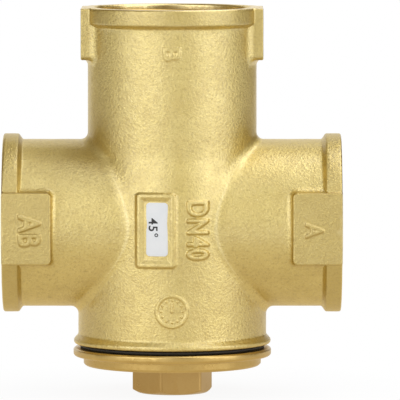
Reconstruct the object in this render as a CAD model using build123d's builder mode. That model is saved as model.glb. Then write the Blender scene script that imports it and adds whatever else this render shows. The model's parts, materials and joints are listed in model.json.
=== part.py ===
from build123d import *
import math
import os

# Thermostatic mixing valve with three female G 1 1/2 ports.
# Frame: the origin is the middle of the hex boss end, +Z runs up the neck to port B,
# +X runs out of port A, and the front with the raised frame faces -Y. Millimetres.

# Threaded ports. The bores are plain at the thread's major diameter.
thread_major_radius = 23.9
thread_length = 16.0
thread_runout_step = 2.4
mouth_chamfer = 0.5
side_reach = 52.0
neck_rise = 66.5

# Walls of the casting, outside the thread
tube_wall = 1.85
neck_wall = 2.1
collar_wall = 3.6
collar_length = 4.8
collar_slope = 1.2
collar_edge = 0.4

# Bowl, shoulder and end flange of the casting
shoulder_step = 3.0
shoulder_start = -7.5
shoulder_length = 28.0
port_above_end = 37.3
end_flange_step = 1.4
end_flange_height = 1.4
end_flange_slope = 1.5
end_flange_edge = 0.5
junction_fillet = 2.3

# Wrench flats, two on every port, 56 mm across
flat_wall = 4.1
flat_width = 22.0
flat_length = 14.7
neck_flat_length = 15.5
flat_setback = 0.5
flat_corner = 1.3
flat_chamfer = 0.3
flat_root_fillet = 1.8

# Raised frame for the sticker, and the sticker
frame_width = 12.2
frame_height = 23.3
frame_corner = 1.0
frame_inner_corner = 0.4
frame_bead = 1.4
frame_relief = 0.6
frame_offset = -4.9
label_width = 6.6
label_height = 16.3
label_offset = 0.4
label_corner = 0.9
label_thickness = 0.15
label_glue_gap = 0.02

# Service plug and its ring
boss_across_flats = 22.0
boss_length = 8.5
boss_turn = 14.0
boss_face_inset = 0.4
boss_chamfer_angle = 30.0
plug_step_radius = 27.35
plug_step_height = 2.9
plug_step_edge = 0.6
plug_flange_height = 2.6
plug_flange_overhang = 0.1
plug_flange_lower_edge = 0.9
plug_flange_upper_edge = 0.5
ring_height = 1.2
ring_width = 3.2
ring_corner = 0.45
ring_clearance = 0.25
spigot_length = 11.0
spigot_wall = 3.0
spigot_chamfer = 0.8
plug_floor = 3.0

# Water ways inside the casting
bowl_wall = 3.95
plug_thread_clearance = 0.05
lower_bore_length = 12.8
lower_cone_length = 2.0
pilot_step = 1.85
seat_below_port = 8.0
seat_width = 3.2
seat_web = 3.0
chamber_wall = 3.5
divider_wall = 3.0
bypass_seat_above_port = 32.5
bypass_seat_web = 3.0
bypass_seat_radius = 13.0
chamber_corner = 2.0

# Thermostatic insert: flange, gasket, disc and seal
pilot_clearance = 0.2
gasket_height = 1.0
insert_flange_height = 1.5
stirrup_clearance = 0.2
stirrup_thickness = 1.2
stirrup_width = 6.5
slot_clearance = 0.1
disc_clearance = 0.7
disc_height = 1.2
disc_hub_rise = 1.5
disc_hub_margin = 1.5
disc_hub_slope = 2.0
seal_height = 1.0
seal_inset = 0.2
seal_width = 2.2
seat_overlap = 1.6

# Wax element
piston_radius = 2.0
piston_clearance = 0.05
piston_travel = 8.0
piston_in_guide = 17.5
guide_nose_radius = 5.0
guide_nose_length = 8.0
guide_press_gap = 0.02
guide_collar_radius = 8.0
guide_collar_height = 2.6
capsule_radius = 7.2
capsule_height = 18.2
capsule_lip = 0.9
capsule_lip_drop = 2.0
capsule_lip_roof = 0.6
capsule_lip_slope = 1.0
capsule_edge = 1.2
piston_tip_gap = 0.5
piston_edge = 0.3
guide_nose_edge = 0.6

# Bridge under the flange, and the stirrup over the main spring
bridge_thickness = 1.5
bridge_width = 7.0
bridge_drop = 18.25
bridge_shank = 4.0
bridge_crown_half = 6.5
bridge_bend = 2.5
bridge_to_slot = 0.35
socket_clearance = 0.02
socket_radius = 3.6
socket_height = 3.0
stirrup_knee_rise = 0.8
stirrup_bend = 1.0
stirrup_guide_gap = 0.3

# Springs
spring_end_dip = 0.6
wire_sides = 6
main_spring_length = 19.0
main_spring_wire = 1.0
hub_spring_gap = 0.6
main_spring_gap = 0.6
main_spring_turns = 5.0
hold_spring_wire = 1.0
hold_spring_gap = 0.4
hold_spring_turns = 3.5
bypass_spring_wire = 0.5
bypass_spring_radius = 5.0
bypass_spring_turns = 3.0

# Bypass disc on its stem
stem_radius = 2.5
stem_clearance = 0.05
stem_tip = 1.5
bypass_disc_height = 1.2
bypass_disc_rim = 2.0
bypass_hub_wall = 1.4
bypass_hub_length = 1.0
bypass_closed_gap = 0.1
clip_height = 0.8
clip_width = 2.0
clip_groove = 0.4
clip_mouth = 3.2
stem_edge = 0.4

# Heights, worked out from the boss end upward
step_z = boss_length
plug_flange_z = step_z + plug_step_height
plug_top_z = plug_flange_z + plug_flange_height
body_end_z = plug_top_z + ring_height
port_z = body_end_z + port_above_end
neck_mouth_z = port_z + neck_rise
seat_z = port_z - seat_below_port
seat_web_z = seat_z + seat_web
bypass_seat_z = port_z + bypass_seat_above_port
lower_bore_z = body_end_z + lower_bore_length
pilot_z = lower_bore_z + lower_cone_length
shoulder_z = port_z + shoulder_start
shoulder_top_z = shoulder_z + shoulder_length
shoulder_mid_z = (shoulder_z + shoulder_top_z) / 2

# Radii of the casting
tube_radius = thread_major_radius + tube_wall
neck_radius = thread_major_radius + neck_wall
collar_radius = thread_major_radius + collar_wall
port_bore_radius = thread_major_radius - thread_runout_step
bowl_radius = neck_radius + shoulder_step
end_flange_radius = bowl_radius + end_flange_step
lower_bore_radius = bowl_radius - bowl_wall
pilot_radius = lower_bore_radius - pilot_step
seat_hole_radius = pilot_radius - seat_width
chamber_radius = neck_radius - chamber_wall

flat_reach = thread_major_radius + flat_wall

port_axis = Axis((0, 0, port_z), (1, 0, 0))
port_plane = Plane((0, 0, port_z), x_dir=(1, 0, 0), z_dir=(0, -1, 0))

# Insert, from the seat step in the body downward and upward
flange_top_z = seat_z - gasket_height
flange_z = flange_top_z - insert_flange_height
insert_flange_radius = pilot_radius - pilot_clearance
leg_outer = math.sqrt((seat_hole_radius - stirrup_clearance) ** 2 - (stirrup_width / 2) ** 2)
leg_y = leg_outer - stirrup_thickness / 2
disc_radius = leg_outer - stirrup_thickness - disc_clearance
seat_opening_radius = disc_radius - seat_overlap
disc_z = flange_top_z + seal_height
disc_top_z = disc_z + disc_height
guide_collar_z = disc_top_z + disc_hub_rise
guide_collar_top_z = guide_collar_z + guide_collar_height
guide_nose_z = guide_collar_z - disc_height - disc_hub_rise - guide_nose_length
capsule_top_z = guide_collar_top_z + capsule_height
bridge_crown_z = flange_z - bridge_drop
piston_z = bridge_crown_z + bridge_thickness / 2
piston_top_z = guide_nose_z + piston_in_guide
stirrup_plate_z = disc_top_z + main_spring_length
bypass_disc_top_z = bypass_seat_z - piston_travel - bypass_closed_gap
bypass_disc_z = bypass_disc_top_z - bypass_disc_height
clip_top_z = bypass_disc_top_z + clip_height
spring_floor_z = step_z + plug_floor
spigot_radius = lower_bore_radius - plug_thread_clearance
spigot_inner_radius = spigot_radius - spigot_wall
bridge_leg_y = leg_outer - stirrup_thickness - slot_clearance - bridge_to_slot - bridge_thickness / 2

# Element, from the guide outward: hub of the disc, main spring, and the stirrup round that spring
disc_hub_radius = guide_collar_radius + disc_hub_margin
hub_foot_radius = disc_hub_radius + disc_hub_slope
main_spring_radius = hub_foot_radius + hub_spring_gap + main_spring_wire
stirrup_top_y = main_spring_radius + main_spring_wire + main_spring_gap + stirrup_thickness / 2
stirrup_knee_z = disc_top_z + piston_travel + stirrup_knee_rise

# Port A's way stops at the wall of the mixing chamber and opens into the inlet chamber below the seat.
with BuildPart() as port_a_way:
    with BuildSketch(Plane.YZ):
        with Locations((0, port_z)):
            Circle(port_bore_radius)
    extrude(amount=side_reach)
    with BuildSketch(Plane.XY.offset(seat_z)):
        Circle(chamber_radius + divider_wall)
    extrude(amount=neck_rise, mode=Mode.SUBTRACT)

# Port AB's way stops at the wall of the inlet chamber and opens into the mixing chamber above the seat.
with BuildPart() as port_ab_way:
    with BuildSketch(Plane.YZ):
        with Locations((0, port_z)):
            Circle(port_bore_radius)
    extrude(amount=-side_reach)
    with BuildSketch(Plane.XY):
        Circle(pilot_radius + divider_wall)
    extrude(amount=seat_web_z, mode=Mode.SUBTRACT)

# Threaded mouths of the two side ports, turned about their common axis
with BuildPart() as side_threads:
    with BuildSketch(port_plane):
        with BuildLine():
            Polyline(
                (side_reach - thread_length, 0),
                (side_reach - thread_length, thread_major_radius),
                (side_reach - mouth_chamfer, thread_major_radius),
                (side_reach, thread_major_radius + mouth_chamfer),
                (side_reach, 0),
                (side_reach - thread_length, 0),
            )
        make_face()
        mirror(about=Plane.YZ)
    revolve(axis=port_axis)

# Upright way: plug thread, inlet chamber, seat, mixing chamber, bypass seat, neck and its thread
with BuildPart() as upright_way:
    thread_z = neck_mouth_z - thread_length
    with BuildSketch(Plane.XZ):
        with BuildLine():
            Polyline(
                (0, body_end_z),
                (lower_bore_radius, body_end_z),
                (lower_bore_radius, lower_bore_z),
                (pilot_radius, pilot_z),
                (pilot_radius, seat_z),
                (seat_hole_radius, seat_z),
                (seat_hole_radius, seat_web_z),
                (chamber_radius - chamber_corner, seat_web_z),
                (chamber_radius, seat_web_z + chamber_corner),
                (chamber_radius, bypass_seat_z - chamber_corner),
                (chamber_radius - chamber_corner, bypass_seat_z),
                (bypass_seat_radius, bypass_seat_z),
                (bypass_seat_radius, bypass_seat_z + bypass_seat_web),
                (port_bore_radius, bypass_seat_z + bypass_seat_web),
                (port_bore_radius, thread_z),
                (thread_major_radius, thread_z),
                (thread_major_radius, neck_mouth_z - mouth_chamfer),
                (thread_major_radius + mouth_chamfer, neck_mouth_z),
                (0, neck_mouth_z),
                (0, body_end_z),
            )
        make_face()
    revolve(axis=Axis.Z)

# Wrench flats, front and back on the side tubes
with BuildPart() as side_flats:
    flat_x = side_reach - flat_setback - flat_length / 2
    with BuildSketch(port_plane.offset(-flat_reach)):
        with Locations((flat_x, 0), (-flat_x, 0)):
            RectangleRounded(flat_length, flat_width, flat_corner)
    extrude(amount=2 * flat_reach)
    chamfer(side_flats.faces().filter_by(Axis.Y).edges(), flat_chamfer)

# Wrench flats, left and right on the neck
with BuildPart() as neck_flats:
    flat_z = neck_mouth_z - flat_setback - neck_flat_length / 2
    with BuildSketch(Plane.YZ.offset(-flat_reach)):
        with Locations((0, flat_z)):
            RectangleRounded(flat_width, neck_flat_length, flat_corner)
    extrude(amount=2 * flat_reach)
    chamfer(neck_flats.faces().filter_by(Axis.X).edges(), flat_chamfer)


def bowl_and_shoulder(relief):
    """Bowl and the smooth shoulder above it, that much proud of the casting's skin."""
    with BuildPart() as bowl:
        with BuildSketch(Plane.XZ):
            with BuildLine():
                Polyline(
                    (bowl_radius + relief, shoulder_z),
                    (bowl_radius + relief, lower_bore_z),
                    (0, lower_bore_z),
                    (0, shoulder_top_z),
                    (neck_radius + relief, shoulder_top_z),
                )
                Bezier(
                    (bowl_radius + relief, shoulder_z),
                    (bowl_radius + relief, shoulder_mid_z),
                    (neck_radius + relief, shoulder_mid_z),
                    (neck_radius + relief, shoulder_top_z),
                )
            make_face()
        revolve(axis=Axis.Z)
    return bowl.part


# Valve body: one casting
with BuildPart() as valve_body:
    # Bowl, shoulder and neck
    collar_base_z = neck_mouth_z - collar_length
    with BuildSketch(Plane.XZ):
        with BuildLine():
            Polyline(
                (0, body_end_z),
                (end_flange_radius - end_flange_edge, body_end_z),
                (end_flange_radius, body_end_z + end_flange_edge),
                (end_flange_radius, body_end_z + end_flange_height),
                (bowl_radius, body_end_z + end_flange_height + end_flange_slope),
                (bowl_radius, shoulder_z),
            )
            Bezier(
                (bowl_radius, shoulder_z),
                (bowl_radius, shoulder_mid_z),
                (neck_radius, shoulder_mid_z),
                (neck_radius, shoulder_top_z),
            )
            Polyline(
                (neck_radius, shoulder_top_z),
                (neck_radius, collar_base_z - collar_slope),
                (collar_radius, collar_base_z),
                (collar_radius, neck_mouth_z - collar_edge),
                (collar_radius - collar_edge, neck_mouth_z),
                (0, neck_mouth_z),
                (0, body_end_z),
            )
        make_face()
    revolve(axis=Axis.Z)

    # Side tubes with their collars, blended into the bowl and the neck
    with BuildSketch(port_plane):
        with BuildLine():
            Polyline(
                (0, 0),
                (0, tube_radius),
                (side_reach - collar_length - collar_slope, tube_radius),
                (side_reach - collar_length, collar_radius),
                (side_reach - collar_edge, collar_radius),
                (side_reach, collar_radius - collar_edge),
                (side_reach, 0),
                (0, 0),
            )
        make_face()
        mirror(about=Plane.YZ)
    revolve(axis=port_axis)
    fillet(valve_body.edges(Select.NEW), junction_fillet)

    # Wrench flats, with a fillet where they rise from the tubes, but not along the mouths
    side_root_reach = side_reach - flat_setback - flat_corner
    add(side_flats.part)
    fillet(
        valve_body.edges(Select.NEW).filter_by_position(Axis.X, -side_root_reach, side_root_reach),
        flat_root_fillet,
    )
    neck_root_reach = neck_mouth_z - flat_setback - flat_corner
    add(neck_flats.part)
    fillet(
        valve_body.edges(Select.NEW).filter_by_position(Axis.Z, port_z, neck_root_reach),
        flat_root_fillet,
    )

    # Raised frame for the sticker, following the round of the bowl
    with BuildSketch(port_plane):
        with Locations((frame_offset, 0)):
            RectangleRounded(frame_width, frame_height, frame_corner)
            RectangleRounded(
                frame_width - 2 * frame_bead,
                frame_height - 2 * frame_bead,
                frame_inner_corner,
                mode=Mode.SUBTRACT,
            )
    frame_bar = extrude(amount=flat_reach + frame_bead, mode=Mode.PRIVATE)
    add(frame_bar & bowl_and_shoulder(frame_relief))

    # Water ways
    add(port_a_way.part, mode=Mode.SUBTRACT)
    add(port_ab_way.part, mode=Mode.SUBTRACT)
    add(side_threads.part, mode=Mode.SUBTRACT)
    add(upright_way.part, mode=Mode.SUBTRACT)
valve_body.part.label = "valve_body"


# Sticker, following the shoulder inside the raised frame
with BuildPart() as setting_label:
    with BuildSketch(port_plane):
        with Locations((frame_offset + label_offset, 0)):
            RectangleRounded(label_width, label_height, label_corner)
    extrude(amount=flat_reach + frame_bead)
    add(bowl_and_shoulder(label_glue_gap + label_thickness), mode=Mode.INTERSECT)
    add(bowl_and_shoulder(label_glue_gap), mode=Mode.SUBTRACT)
setting_label.part.label = "setting_label"

# Service plug: hex boss, step, flange and hollow threaded spigot, turned from one bar
with BuildPart() as service_plug:
    boss_face_radius = boss_across_flats / 2 - boss_face_inset
    boss_corner_radius = boss_across_flats / 2 / math.cos(math.radians(30))
    chamfer_rise = (boss_corner_radius - boss_face_radius) * math.tan(math.radians(boss_chamfer_angle))
    with BuildSketch(Plane.XY):
        RegularPolygon(boss_across_flats / 2, 6, major_radius=False, rotation=boss_turn)
    extrude(amount=boss_length)
    with BuildSketch(Plane.XZ):
        with BuildLine():
            Polyline(
                (0, 0),
                (boss_face_radius, 0),
                (boss_corner_radius, chamfer_rise),
                (boss_corner_radius, boss_length),
                (0, boss_length),
                (0, 0),
            )
        make_face()
    revolve(axis=Axis.Z, mode=Mode.INTERSECT)

    plug_flange_radius = end_flange_radius + plug_flange_overhang
    spigot_top_z = plug_top_z + spigot_length
    with BuildSketch(Plane.XZ):
        with BuildLine():
            Polyline(
                (0, step_z),
                (plug_step_radius - plug_step_edge, step_z),
                (plug_step_radius, step_z + plug_step_edge),
                (plug_step_radius, plug_flange_z),
                (plug_flange_radius - plug_flange_lower_edge, plug_flange_z),
            )
            RadiusArc(
                (plug_flange_radius - plug_flange_lower_edge, plug_flange_z),
                (plug_flange_radius, plug_flange_z + plug_flange_lower_edge),
                -plug_flange_lower_edge,
            )
            Polyline(
                (plug_flange_radius, plug_flange_z + plug_flange_lower_edge),
                (plug_flange_radius, plug_top_z - plug_flange_upper_edge),
                (plug_flange_radius - plug_flange_upper_edge, plug_top_z),
                (spigot_radius, plug_top_z),
                (spigot_radius, spigot_top_z - spigot_chamfer),
                (spigot_radius - spigot_chamfer, spigot_top_z),
                (spigot_inner_radius, spigot_top_z),
                (spigot_inner_radius, spring_floor_z),
                (0, spring_floor_z),
                (0, step_z),
            )
        make_face()
    revolve(axis=Axis.Z)
service_plug.part.label = "service_plug"

# Rubber ring squeezed between the plug flange and the end of the casting
with BuildPart() as plug_ring:
    ring_inner_radius = spigot_radius + ring_clearance
    with BuildSketch(Plane.XZ) as ring_section:
        with Locations((ring_inner_radius + ring_width / 2, (plug_top_z + body_end_z) / 2)):
            Rectangle(ring_width, ring_height)
        chamfer(ring_section.vertices(), ring_corner)
    revolve(axis=Axis.Z)
plug_ring.part.label = "plug_ring"

# Insert flange: pressed ring with the seat opening and two slots for the stirrup legs
with BuildPart() as insert_flange:
    with BuildSketch(Plane.XY.offset(flange_z)):
        Circle(insert_flange_radius)
        Circle(seat_opening_radius, mode=Mode.SUBTRACT)
        with Locations((0, leg_y), (0, -leg_y)):
            Rectangle(
                stirrup_width + 2 * slot_clearance,
                stirrup_thickness + 2 * slot_clearance,
                mode=Mode.SUBTRACT,
            )
    extrude(amount=insert_flange_height)
insert_flange.part.label = "insert_flange"

# Gasket between the insert flange and the seat step in the casting
with BuildPart() as flange_gasket:
    with BuildSketch(Plane.XY.offset(flange_top_z)):
        Circle(insert_flange_radius)
        Circle(seat_hole_radius, mode=Mode.SUBTRACT)
    extrude(amount=gasket_height)
flange_gasket.part.label = "flange_gasket"

# Bridge: bent strip below the flange, with the socket that holds the piston
with BuildPart() as piston_bridge:
    with BuildSketch(Plane.YZ):
        with BuildLine():
            FilletPolyline(
                (-bridge_leg_y, flange_z),
                (-bridge_leg_y, flange_z - bridge_shank),
                (-bridge_crown_half, bridge_crown_z),
                (bridge_crown_half, bridge_crown_z),
                (bridge_leg_y, flange_z - bridge_shank),
                (bridge_leg_y, flange_z),
                radius=bridge_bend,
            )
        trace(line_width=bridge_thickness)
    extrude(amount=bridge_width / 2, both=True)
    with BuildSketch(Plane.XY.offset(piston_z)):
        Circle(socket_radius)
        Circle(piston_radius + socket_clearance, mode=Mode.SUBTRACT)
    extrude(amount=socket_height)
piston_bridge.part.label = "piston_bridge"

# Piston of the wax element, standing in the bridge
with BuildPart() as piston:
    with BuildSketch(Plane.XY.offset(piston_z)):
        Circle(piston_radius)
    extrude(amount=piston_top_z - piston_z)
    chamfer(piston.edges().filter_by(GeomType.CIRCLE), piston_edge)
piston.part.label = "piston"

# Guide of the wax element: nose through the main disc, collar on top of its hub
with BuildPart() as capsule_guide:
    guide_bore_radius = piston_radius + piston_clearance
    with BuildSketch(Plane.XZ):
        with BuildLine():
            Polyline(
                (guide_bore_radius, guide_nose_z),
                (guide_nose_radius - guide_nose_edge, guide_nose_z),
                (guide_nose_radius, guide_nose_z + guide_nose_edge),
                (guide_nose_radius, guide_collar_z),
                (guide_collar_radius, guide_collar_z),
                (guide_collar_radius, guide_collar_top_z),
                (guide_bore_radius, guide_collar_top_z),
                (guide_bore_radius, guide_nose_z),
            )
        make_face()
    revolve(axis=Axis.Z)
capsule_guide.part.label = "capsule_guide"

# Wax capsule: sealed cup crimped over the collar of the guide, with the hole that the piston works in
with BuildPart() as wax_capsule:
    lip_inner_radius = guide_collar_radius + guide_press_gap
    lip_outer_radius = lip_inner_radius + capsule_lip
    lip_roof_z = guide_collar_top_z + capsule_lip_roof
    piston_hole_z = piston_top_z + piston_tip_gap
    with BuildSketch(Plane.XZ):
        with BuildLine():
            Polyline(
                (guide_bore_radius, guide_collar_top_z),
                (lip_inner_radius, guide_collar_top_z),
                (lip_inner_radius, guide_collar_top_z - capsule_lip_drop),
                (lip_outer_radius, guide_collar_top_z - capsule_lip_drop),
                (lip_outer_radius, lip_roof_z),
                (capsule_radius, lip_roof_z + capsule_lip_slope),
                (capsule_radius, capsule_top_z - capsule_edge),
            )
            RadiusArc(
                (capsule_radius, capsule_top_z - capsule_edge),
                (capsule_radius - capsule_edge, capsule_top_z),
                -capsule_edge,
            )
            Polyline(
                (capsule_radius - capsule_edge, capsule_top_z),
                (0, capsule_top_z),
                (0, piston_hole_z),
                (guide_bore_radius, piston_hole_z),
                (guide_bore_radius, guide_collar_top_z),
            )
        make_face()
    revolve(axis=Axis.Z)
wax_capsule.part.label = "wax_capsule"

# Main disc: pressed sheet, flat rim for the seal and the spring, raised hub for the guide
with BuildPart() as main_disc:
    hub_hole_radius = guide_nose_radius + guide_press_gap
    with BuildSketch(Plane.XZ):
        with BuildLine():
            Polyline(
                (hub_hole_radius, disc_z + disc_hub_rise),
                (disc_hub_radius, disc_z + disc_hub_rise),
                (hub_foot_radius, disc_z),
                (disc_radius, disc_z),
                (disc_radius, disc_top_z),
                (hub_foot_radius, disc_top_z),
                (disc_hub_radius, guide_collar_z),
                (hub_hole_radius, guide_collar_z),
                (hub_hole_radius, disc_z + disc_hub_rise),
            )
        make_face()
    revolve(axis=Axis.Z)
main_disc.part.label = "main_disc"

# Rubber seal bonded under the rim of the main disc
with BuildPart() as disc_seal:
    seal_radius = disc_radius - seal_inset
    with BuildSketch(Plane.XY.offset(flange_top_z)):
        Circle(seal_radius)
        Circle(seal_radius - seal_width, mode=Mode.SUBTRACT)
    extrude(amount=seal_height)
disc_seal.part.label = "disc_seal"

# Stirrup: bent strip from the flange slots over the main spring, with the hole that guides the capsule
with BuildPart() as spring_stirrup:
    stirrup_mid_z = stirrup_plate_z + stirrup_thickness / 2
    with BuildSketch(Plane.YZ):
        with BuildLine():
            FilletPolyline(
                (-leg_y, flange_z),
                (-leg_y, stirrup_knee_z),
                (-stirrup_top_y, stirrup_mid_z),
                (stirrup_top_y, stirrup_mid_z),
                (leg_y, stirrup_knee_z),
                (leg_y, flange_z),
                radius=stirrup_bend,
            )
        trace(line_width=stirrup_thickness)
    extrude(amount=stirrup_width / 2, both=True)
    with BuildSketch(Plane.XY.offset(stirrup_plate_z)):
        Circle(stirrup_top_y)
    extrude(amount=stirrup_thickness)
    with BuildSketch(Plane.XY.offset(stirrup_plate_z)):
        Circle(capsule_radius + stirrup_guide_gap)
    extrude(amount=stirrup_thickness, mode=Mode.SUBTRACT)
spring_stirrup.part.label = "spring_stirrup"

# Stem on top of the capsule, with the groove for the clip
with BuildPart() as bypass_stem:
    groove_radius = stem_radius - clip_groove
    stem_top_z = clip_top_z + stem_tip
    with BuildSketch(Plane.XZ):
        with BuildLine():
            Polyline(
                (0, capsule_top_z),
                (stem_radius, capsule_top_z),
                (stem_radius, bypass_disc_top_z),
                (groove_radius, bypass_disc_top_z),
                (groove_radius, clip_top_z),
                (stem_radius, clip_top_z),
                (stem_radius, stem_top_z - stem_edge),
                (stem_radius - stem_edge, stem_top_z),
                (0, stem_top_z),
                (0, capsule_top_z),
            )
        make_face()
    revolve(axis=Axis.Z)
bypass_stem.part.label = "bypass_stem"

# Bypass disc with its hub, sliding on the stem
with BuildPart() as bypass_disc:
    bypass_disc_radius = bypass_seat_radius + bypass_disc_rim
    stem_hole_radius = stem_radius + stem_clearance
    bypass_hub_radius = stem_hole_radius + bypass_hub_wall
    with BuildSketch(Plane.XY.offset(bypass_disc_z)):
        Circle(bypass_disc_radius)
        Circle(stem_hole_radius, mode=Mode.SUBTRACT)
    extrude(amount=bypass_disc_height)
    with BuildSketch(Plane.XY.offset(bypass_disc_z - bypass_hub_length)):
        Circle(bypass_hub_radius)
        Circle(stem_hole_radius, mode=Mode.SUBTRACT)
    extrude(amount=bypass_hub_length)
bypass_disc.part.label = "bypass_disc"

# Clip in the groove of the stem
with BuildPart() as bypass_clip:
    clip_inner_radius = groove_radius + guide_press_gap
    with BuildSketch(Plane.XY.offset(bypass_disc_top_z)):
        Circle(clip_inner_radius + clip_width)
        Circle(clip_inner_radius, mode=Mode.SUBTRACT)
        with Locations((clip_inner_radius + clip_width / 2, 0)):
            Rectangle(2 * clip_width, clip_mouth, mode=Mode.SUBTRACT)
    extrude(amount=clip_height)
bypass_clip.part.label = "bypass_clip"


def ground_spring(wire_radius, mean_radius, base_z, top_z, turns):
    """Compression spring between two flat seats, with its ends ground flat."""
    dip = spring_end_dip * wire_radius
    height = top_z - base_z + 2 * dip
    with BuildPart() as spring:
        with BuildLine() as coil:
            Helix(height / turns, height, mean_radius, center=(0, 0, base_z - dip))
        with BuildSketch(Plane(coil.line @ 0, z_dir=coil.line % 0)):
            RegularPolygon(wire_radius, wire_sides, rotation=180 / wire_sides)
        sweep(is_frenet=True)
        with BuildSketch(Plane.XY.offset(base_z)):
            Circle(mean_radius + 2 * wire_radius)
        extrude(amount=top_z - base_z, mode=Mode.INTERSECT)
    return spring.part


# The three springs of the valve
main_spring = ground_spring(
    main_spring_wire,
    main_spring_radius,
    disc_top_z,
    stirrup_plate_z,
    main_spring_turns,
)
main_spring.label = "main_spring"
hold_down_spring = ground_spring(
    hold_spring_wire,
    spigot_inner_radius - hold_spring_gap - hold_spring_wire,
    spring_floor_z,
    flange_z,
    hold_spring_turns,
)
hold_down_spring.label = "hold_down_spring"
bypass_spring = ground_spring(
    bypass_spring_wire,
    bypass_spring_radius,
    capsule_top_z,
    bypass_disc_z,
    bypass_spring_turns,
)
bypass_spring.label = "bypass_spring"

# One file for each piece
os.makedirs("parts", exist_ok=True)
export_step(valve_body.part, "parts/valve_body.step")
export_step(setting_label.part, "parts/setting_label.step")
export_step(service_plug.part, "parts/service_plug.step")
export_step(plug_ring.part, "parts/plug_ring.step")
export_step(insert_flange.part, "parts/insert_flange.step")
export_step(flange_gasket.part, "parts/flange_gasket.step")
export_step(piston_bridge.part, "parts/piston_bridge.step")
export_step(piston.part, "parts/piston.step")
export_step(capsule_guide.part, "parts/capsule_guide.step")
export_step(wax_capsule.part, "parts/wax_capsule.step")
export_step(main_disc.part, "parts/main_disc.step")
export_step(disc_seal.part, "parts/disc_seal.step")
export_step(spring_stirrup.part, "parts/spring_stirrup.step")
export_step(bypass_stem.part, "parts/bypass_stem.step")
export_step(bypass_disc.part, "parts/bypass_disc.step")
export_step(bypass_clip.part, "parts/bypass_clip.step")
export_step(main_spring, "parts/main_spring.step")
export_step(hold_down_spring, "parts/hold_down_spring.step")
export_step(bypass_spring, "parts/bypass_spring.step")
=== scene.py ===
import json
import math

import bmesh
import bpy
import numpy as np
import openvdb
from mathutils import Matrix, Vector


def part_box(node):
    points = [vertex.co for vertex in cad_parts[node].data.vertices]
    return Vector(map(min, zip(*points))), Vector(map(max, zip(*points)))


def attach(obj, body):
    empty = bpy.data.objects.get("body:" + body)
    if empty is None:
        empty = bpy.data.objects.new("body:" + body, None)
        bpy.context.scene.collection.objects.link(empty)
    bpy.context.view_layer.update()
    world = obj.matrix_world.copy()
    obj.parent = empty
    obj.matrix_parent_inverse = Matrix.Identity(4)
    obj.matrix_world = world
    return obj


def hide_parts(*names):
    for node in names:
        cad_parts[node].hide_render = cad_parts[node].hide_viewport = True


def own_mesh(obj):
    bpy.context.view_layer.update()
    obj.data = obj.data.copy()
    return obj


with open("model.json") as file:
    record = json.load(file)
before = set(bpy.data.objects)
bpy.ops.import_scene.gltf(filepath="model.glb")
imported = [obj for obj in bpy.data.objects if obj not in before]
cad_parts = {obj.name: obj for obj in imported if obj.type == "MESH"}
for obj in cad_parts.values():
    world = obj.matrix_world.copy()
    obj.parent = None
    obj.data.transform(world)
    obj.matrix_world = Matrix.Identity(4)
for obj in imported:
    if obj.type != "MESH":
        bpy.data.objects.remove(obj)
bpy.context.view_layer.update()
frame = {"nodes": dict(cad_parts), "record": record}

# Thermostatic mixing valve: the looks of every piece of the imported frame.
# Surfaces are worked out in millimetres, as distances to the casting and the plug, and written in metres.

MM = 0.001

# Places and sizes that the frame gives, in millimetres
mounts = {mount["name"]: mount for mount in frame["record"]["mounts"]}
body_low, body_high = [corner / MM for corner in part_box("valve_body")]
plug_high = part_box("service_plug")[1] / MM
ring_low, ring_high = [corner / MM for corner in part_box("plug_ring")]
label_low, label_high = [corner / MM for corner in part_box("setting_label")]
port_z = mounts["port_a"]["pos_m"][2] / MM
thread_radius = mounts["port_a"]["dims"]["r_mm"]
side_reach = body_high.x
mouth_z = body_high.z
body_end_z = body_low.z
end_flange_radius = body_high.y
plug_flange_radius = plug_high.y
plug_top_z = ring_low.z

# Sizes of the casting's outside
tube_radius = 25.75
neck_radius = 26.0
bowl_radius = 29.0
collar_radius = 27.5
collar_length = 4.8
collar_slope = 1.2
collar_edge = 0.4
end_flange_height = 1.4
end_flange_slope = 1.5
shoulder_z = port_z + 0.5
shoulder_length = 20.5
shoulder_power = 1.9
junction_fillet = 1.1
crotch_fillet = 2.3
cast_softness = 0.22
flat_reach = 28.0
flat_width = 22.0
flat_length = 14.7
neck_flat_length = 15.5
flat_setback = 0.5
flat_overrun = 4.0
flat_inset = 0.1
flat_corner = 1.5
flat_edge = 0.5
flat_root = 1.9

# Sizes of the water ways
thread_length = 16.0
mouth_chamfer = 0.5
port_bore_radius = 21.5
lower_bore_radius = 25.05
lower_bore_z = 28.0
pilot_radius = 23.2
pilot_z = 30.0
seat_z = port_z - 8.0
seat_hole_radius = 20.0
seat_web_z = seat_z + 3.0
chamber_radius = 22.5
chamber_corner = 2.0
divider_wall = 3.0
bypass_seat_z = port_z + 32.5
bypass_seat_radius = 13.0
bypass_web = 3.0
way_softness = 0.12
way_edge = 0.8
way_fillet = 0.6
casting_edge = 0.2

# Cell of the distance tables
table_cell = 0.1


def add_object(name, data):
    """Puts an object with that data into the scene."""
    made = bpy.data.objects.new(name, data)
    bpy.context.scene.collection.objects.link(made)
    return made


def segment_distance(u, v, start, end):
    """Distance from the points (u, v) to a straight stretch."""
    along_u = end[0] - start[0]
    along_v = end[1] - start[1]
    share = ((u - start[0]) * along_u + (v - start[1]) * along_v) / (along_u**2 + along_v**2)
    share = np.clip(share, 0, 1)
    return np.hypot(u - start[0] - share * along_u, v - start[1] - share * along_v)


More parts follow.
